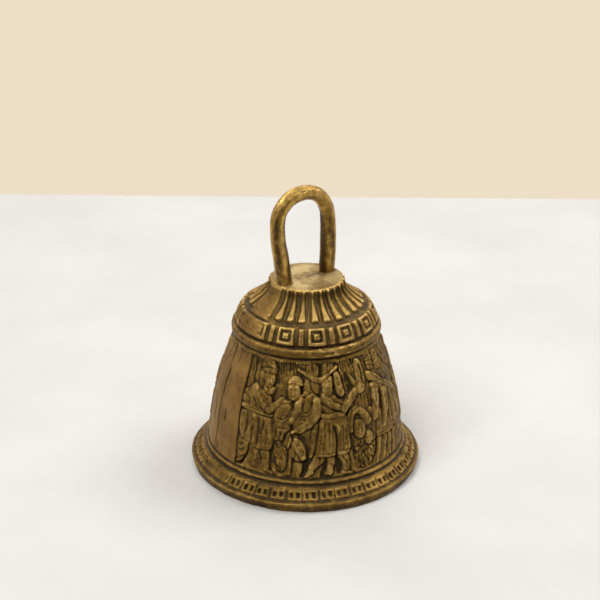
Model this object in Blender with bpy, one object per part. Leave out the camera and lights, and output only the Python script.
"""Brass table bell: a cast shell, a bent rod handle riveted through the crown, and a clapper
that hangs from a staple by one link. Metres, +Z up, origin at the middle of the rim's base."""

import math

import bmesh
import bpy
from mathutils import Matrix, Vector

# ---------------------------------------------------------------- driving dimensions (metres)
GAP = 0.0003                      # between neighbouring pieces

SHELL_STEPS = 56                  # two steps to a flute, four to a panel
CROWN_TOP = 0.0683
CROWN_UNDER = 0.0628
CROWN_RADIUS = 0.01235
FLUTE_DEPTH = 0.0005
FLUTE_FROM, FLUTE_TO = 0.0595, 0.0672
PANEL_DEPTH = 0.0006
PANEL_FROM, PANEL_TO = 0.0537, 0.0585

ROD_RADIUS = 0.00245              # handle stock
ROD_SIDES = 16
TENON_RADIUS = 0.0017
TENON_LEFT, TENON_RIGHT = -0.0090, 0.0087
RIVET_RADIUS, RIVET_HEIGHT = 0.0026, 0.0012
WASHER_RADIUS, WASHER_THICKNESS = 0.0029, 0.0008

STAPLE_WIRE = 0.0010              # wire radii from here on
STAPLE_BEND = 0.0030
STAPLE_BOTTOM = 0.0575            # height of the wire's centre where the link hangs
STAPLE_SINK = 0.0029              # how far each leg is let into the crown
LINK_WIRE = 0.0008
LINK_BEND = 0.0026
LINK_LENGTH = 0.0070              # from wire centre to wire centre
EYE_WIRE = 0.0009
EYE_BEND = 0.0022
BALL_RADIUS = 0.0063
BALL_HEIGHT = 0.0170              # height of the ball's centre
CLAPPER_HEAD_RADIUS, CLAPPER_HEAD_HEIGHT = 0.0018, 0.0010

# The two hinge axes: the link turns on the staple, the clapper turns on the link.
LINK_AXIS = Vector((0, 0, STAPLE_BOTTOM))
LINK_TOP = STAPLE_BOTTOM + STAPLE_WIRE + GAP + LINK_WIRE
CLAPPER_AXIS = Vector((0, 0, LINK_TOP - LINK_LENGTH))

# Radius and height of the turned surfaces, from the crown down outside and up again inside.
OUTSIDE = [
    (CROWN_RADIUS, CROWN_TOP), (0.0126, 0.0671), (0.0134, 0.0650), (0.0162, 0.0620),
    (0.0196, 0.0592), (0.0208, 0.0586), (0.0212, 0.0584), (0.0236, 0.0554), (0.0244, 0.0538),
    (0.0242, 0.0534), (0.0238, 0.0530), (0.0252, 0.0524), (0.0256, 0.0512), (0.0253, 0.0498),
    (0.0244, 0.0491), (0.0250, 0.0484), (0.0256, 0.0476), (0.0267, 0.0440), (0.0281, 0.0400),
    (0.0293, 0.0360), (0.0305, 0.0320), (0.0315, 0.0280), (0.0329, 0.0200), (0.0339, 0.0120),
    (0.0346, 0.0083), (0.0352, 0.0070), (0.0364, 0.0057), (0.0387, 0.0038), (0.0400, 0.0029),
    (0.0392, 0.0000),
]
INSIDE = [
    (0.0345, 0.0000), (0.0328, 0.0015), (0.0316, 0.0045), (0.0309, 0.0095), (0.0303, 0.0160),
    (0.0294, 0.0240), (0.0281, 0.0320), (0.0259, 0.0400), (0.0233, 0.0470), (0.0214, 0.0520),
    (0.0192, 0.0560), (0.0158, 0.0600), (0.0134, 0.0620), (0.0124, CROWN_UNDER),
]
# The handle's centre line in the XZ plane, from the left foot over the top to the right foot.
HANDLE_LINE = [
    (-0.0097, 0.0686), (-0.0110, 0.0770), (-0.0125, 0.0865), (-0.0118, 0.0935),
    (-0.0072, 0.0977), (-0.0010, 0.0985), (0.0045, 0.0963), (0.0080, 0.0915),
    (0.0090, 0.0840), (0.0090, 0.0760), (0.0087, 0.0686),
]


# ---------------------------------------------------------------- materials
def brass(name, colour, roughness):
    material = bpy.data.materials.new(name)
    material.use_nodes = True
    shader = material.node_tree.nodes["Principled BSDF"]
    shader.inputs["Base Color"].default_value = (*colour, 1)
    shader.inputs["Metallic"].default_value = 1.0
    shader.inputs["Roughness"].default_value = roughness
    material.diffuse_color = (*colour, 1)
    return material


# ---------------------------------------------------------------- mesh helpers
def add_object(name, shape, material=None, origin=Vector((0, 0, 0)), parent=None):
    """Links a bmesh as an object whose own origin is at a world position."""
    bmesh.ops.recalc_face_normals(shape, faces=shape.faces)
    bmesh.ops.translate(shape, vec=-origin, verts=shape.verts)
    mesh = bpy.data.meshes.new(name)
    shape.to_mesh(mesh)
    shape.free()
    mesh.shade_smooth()
    mesh.set_sharp_from_angle(angle=math.radians(40))
    if material:
        mesh.materials.append(material)
    obj = bpy.data.objects.new(name, mesh)
    bpy.context.scene.collection.objects.link(obj)
    obj.parent = parent
    obj.location = origin - Vector(parent["place"]) if parent else origin
    return obj


def add_pivot(name, place, parent=None):
    """An empty on a joint's axis, which the moving pieces are parented to."""
    empty = bpy.data.objects.new(name, None)
    bpy.context.scene.collection.objects.link(empty)
    empty.parent = parent
    empty.location = place - Vector(parent["place"]) if parent else place
    empty["place"] = place
    return empty


def turned(outline, steps, relief=None, closed=False):
    """A surface of revolution about Z. A point at radius 0 becomes a single pole.
    relief gives what is added to the radius at a point of the outline and a step."""
    shape = bmesh.new()
    rings = []
    for point in outline:
        radius, height = point
        if radius == 0:
            rings.append([shape.verts.new((0, 0, height))] * steps)
            continue
        ring = []
        for step in range(steps):
            angle = math.tau * step / steps
            r = radius + (relief(point, step) if relief else 0)
            ring.append(shape.verts.new((r * math.cos(angle), r * math.sin(angle), height)))
        rings.append(ring)
    pairs = list(zip(rings, rings[1:]))
    if closed:
        pairs.append((rings[-1], rings[0]))
    for upper, lower in pairs:
        for step in range(steps):
            after = (step + 1) % steps
            corners = dict.fromkeys((upper[step], lower[step], lower[after], upper[after]))
            shape.faces.new(list(corners))
    return shape


def lofted(sections, sides, across=Vector((0, 1, 0)), closed=False):
    """A round bar through sections (centre, outward direction, radius); across is the direction
    that every section shares, so the bar's centre line is flat."""
    shape = bmesh.new()
    rings = []
    for centre, outward, radius in sections:
        ring = []
        for side in range(sides):
            angle = math.tau * side / sides
            offset = outward * math.cos(angle) + across * math.sin(angle)
            ring.append(shape.verts.new(centre + offset * radius))
        rings.append(ring)
    pairs = list(zip(rings, rings[1:]))
    if closed:
        pairs.append((rings[-1], rings[0]))
    else:
        shape.faces.new(rings[0])
        shape.faces.new(list(reversed(rings[-1])))
    for first, second in pairs:
        for side in range(sides):
            after = (side + 1) % sides
            shape.faces.new((first[side], first[after], second[after], second[side]))
    return shape


def sections_along(line, radius, across=Vector((0, 1, 0)), closed=False):
    """One section at each point of a flat line, square to the line there."""
    sections = []
    for index, point in enumerate(line):
        before = line[index - 1] if index or closed else point
        after = line[(index + 1) % len(line)] if index + 1 < len(line) or closed else point
        outward = (after - before).cross(across).normalized()
        sections.append((point, outward, radius))
    return sections


def smooth_line(points, steps):
    """A Catmull-Rom curve through the points."""
    padded = [2 * points[0] - points[1], *points, 2 * points[-1] - points[-2]]
    line = []
    for p0, p1, p2, p3 in zip(padded, padded[1:], padded[2:], padded[3:]):
        for step in range(steps):
            t = step / steps
            line.append(0.5 * (2 * p1 + (p2 - p0) * t + (2 * p0 - 5 * p1 + 4 * p2 - p3) * t**2
                               + (3 * p1 - p0 - 3 * p2 + p3) * t**3))
    return [*line, points[-1]]


def arc(centre, radius, start, end, steps, right=Vector((1, 0, 0))):
    """Points on an upright circle, angles in degrees from the direction called right."""
    angles = (math.radians(start + (end - start) * step / steps) for step in range(steps + 1))
    up = Vector((0, 0, 1))
    return [centre + (right * math.cos(a) + up * math.sin(a)) * radius for a in angles]


# ---------------------------------------------------------------- the pieces
def shell_relief(point, step):
    """Outside only: flutes under the crown, and below them panels with a groove between them."""
    if point not in OUTSIDE:
        return 0
    height = point[1]
    if FLUTE_FROM - 0.0004 < height < FLUTE_TO:
        return 0 if step % 2 else -FLUTE_DEPTH
    if PANEL_FROM < height < PANEL_TO:
        return 0 if step % 4 else -PANEL_DEPTH
    return 0


def make_shell(material):
    outline = [(0, CROWN_TOP), *OUTSIDE, *INSIDE, (0, CROWN_UNDER)]
    shell = add_object("bell_shell", turned(outline, SHELL_STEPS, shell_relief), material)
    below = CROWN_UNDER - 2 * GAP
    leg_end = CROWN_UNDER + STAPLE_SINK + GAP
    holes = bmesh.new()
    add_bit(holes, TENON_LEFT, TENON_RADIUS + GAP, below, CROWN_TOP + 2 * GAP)
    add_bit(holes, TENON_RIGHT, TENON_RADIUS + GAP, below, CROWN_TOP + 2 * GAP)
    add_bit(holes, -STAPLE_BEND, STAPLE_WIRE + GAP, below, leg_end)
    add_bit(holes, STAPLE_BEND, STAPLE_WIRE + GAP, below, leg_end)
    cutter = add_object("crown_holes", holes)
    cutter.hide_render = True
    cutter.display_type = "WIRE"
    cut = shell.modifiers.new("crown_holes", "BOOLEAN")
    cut.operation = "DIFFERENCE"
    cut.object = cutter


def add_bit(shape, place, radius, low, high):
    """An upright cylinder at x = place, where a hole is drilled."""
    middle = Matrix.Translation((place, 0, (low + high) / 2))
    bmesh.ops.create_cone(shape, cap_ends=True, segments=ROD_SIDES, radius1=radius,
                          radius2=radius, depth=high - low, matrix=middle)


def rivet(place, down):
    """The tenon under one foot of the handle and the head closed over its washer, as sections
    from the foot downwards (or upwards, for the bar's first end)."""
    head_top = CROWN_UNDER - 2 * GAP - WASHER_THICKNESS
    outward = Vector((-1, 0, 0))
    steps = [
        (CROWN_TOP + GAP, TENON_RADIUS), (head_top, TENON_RADIUS), (head_top, RIVET_RADIUS),
        (head_top - 0.4 * RIVET_HEIGHT, RIVET_RADIUS), (head_top - RIVET_HEIGHT, TENON_RADIUS),
    ]
    sections = [(Vector((place, 0, height)), outward, radius) for height, radius in steps]
    if down:
        sections = [(centre, -direction, radius) for centre, direction, radius in sections]
        return sections
    return sections[::-1]


def make_handle(material):
    line = smooth_line([Vector((x, 0, z)) for x, z in HANDLE_LINE], 4)
    sections = sections_along(line, ROD_RADIUS)
    foot = line[0]
    sections[0] = (foot, Vector((-1, 0, 0)), ROD_RADIUS)
    sections[-1] = (line[-1], Vector((1, 0, 0)), ROD_RADIUS)
    sections = [*rivet(TENON_LEFT, False), *sections, *rivet(TENON_RIGHT, True)]
    add_object("loop_handle", lofted(sections, ROD_SIDES), material)


def make_washer(side, place, material):
    top = CROWN_UNDER - GAP
    outline = [
        (TENON_RADIUS + GAP, top), (WASHER_RADIUS, top),
        (WASHER_RADIUS, top - WASHER_THICKNESS), (TENON_RADIUS + GAP, top - WASHER_THICKNESS),
    ]
    shape = turned(outline, 24, closed=True)
    bmesh.ops.translate(shape, vec=(place, 0, 0), verts=shape.verts)
    add_object(f"handle_washer_{side}", shape, material, Vector((place, 0, top)))


def make_staple(material):
    bend = Vector((0, 0, STAPLE_BOTTOM + STAPLE_BEND))
    leg_top = CROWN_UNDER + STAPLE_SINK
    line = [Vector((-STAPLE_BEND, 0, leg_top)), *arc(bend, STAPLE_BEND, 180, 360, 14),
            Vector((STAPLE_BEND, 0, leg_top))]
    add_object("clapper_staple", lofted(sections_along(line, STAPLE_WIRE), 12), material)


def make_link(material, pivot):
    along_y = Vector((0, 1, 0))
    upper = Vector((0, 0, LINK_TOP - LINK_BEND))
    lower = CLAPPER_AXIS + Vector((0, 0, LINK_BEND))
    line = [*arc(upper, LINK_BEND, 0, 180, 10, along_y),
            *arc(lower, LINK_BEND, 180, 360, 10, along_y)]
    across = Vector((1, 0, 0))
    shape = lofted(sections_along(line, LINK_WIRE, across, True), 12, across, True)
    add_object("clapper_link", shape, material, LINK_AXIS, pivot)


def eye_centre():
    """The rod's eye hangs on the wire of the link's lower bend."""
    rise = LINK_WIRE + GAP + EYE_WIRE - EYE_BEND
    return CLAPPER_AXIS + Vector((0, 0, rise))


def make_clapper_rod(material, pivot):
    """One wire: an open curl for the eye, a short neck, the shank, and the head that was
    closed over under the ball."""
    eye = eye_centre()
    neck_low = eye - Vector((0, 0, 2.4 * EYE_BEND))
    neck = [eye + Vector((0.42 * EYE_BEND, 0, -1.28 * EYE_BEND)),
            eye + Vector((0.14 * EYE_BEND, 0, -1.72 * EYE_BEND)), neck_low]
    head_top = BALL_HEIGHT - BALL_RADIUS - GAP
    line = [*arc(eye, EYE_BEND, 222, -48, 18), *neck, Vector((0, 0, head_top))]
    sections = sections_along(line, EYE_WIRE)
    outward = sections[-1][1]
    for drop, radius in ((0, CLAPPER_HEAD_RADIUS), (0.45, CLAPPER_HEAD_RADIUS), (1, EYE_WIRE)):
        centre = Vector((0, 0, head_top - drop * CLAPPER_HEAD_HEIGHT))
        sections.append((centre, outward, radius))
    add_object("clapper_rod", lofted(sections, 12), material, CLAPPER_AXIS, pivot)


def make_ball(material, pivot):
    """A ball bored through for the rod, with a small flat round each mouth of the bore."""
    bore = EYE_WIRE + GAP
    flat = 2 * bore
    tilt = math.asin(flat / BALL_RADIUS)
    steps = 14
    outline = []
    for step in range(steps + 1):
        angle = tilt + (math.pi - 2 * tilt) * step / steps
        outline.append((BALL_RADIUS * math.sin(angle), BALL_HEIGHT + BALL_RADIUS * math.cos(angle)))
    top, bottom = outline[0][1], outline[-1][1]
    outline = [(bore, top), *outline, (bore, bottom)]
    shape = turned(outline, 28, closed=True)
    add_object("clapper_ball", shape, material, CLAPPER_AXIS, pivot)


def main():
    for obj in list(bpy.data.objects):
        bpy.data.objects.remove(obj)
    cast_brass = brass("cast_brass", (0.33, 0.22, 0.09), 0.42)
    rod_brass = brass("rod_brass", (0.45, 0.29, 0.12), 0.35)
    inner_brass = brass("inner_brass", (0.24, 0.16, 0.07), 0.5)
    iron_wire = brass("iron_wire", (0.14, 0.12, 0.10), 0.55)

    make_shell(cast_brass)
    make_handle(rod_brass)
    make_washer("left", TENON_LEFT, inner_brass)
    make_washer("right", TENON_RIGHT, inner_brass)
    make_staple(iron_wire)
    link_pivot = add_pivot("link_pivot", LINK_AXIS)
    make_link(iron_wire, link_pivot)
    clapper_pivot = add_pivot("clapper_pivot", CLAPPER_AXIS, link_pivot)
    make_clapper_rod(iron_wire, clapper_pivot)
    make_ball(inner_brass, clapper_pivot)


main()
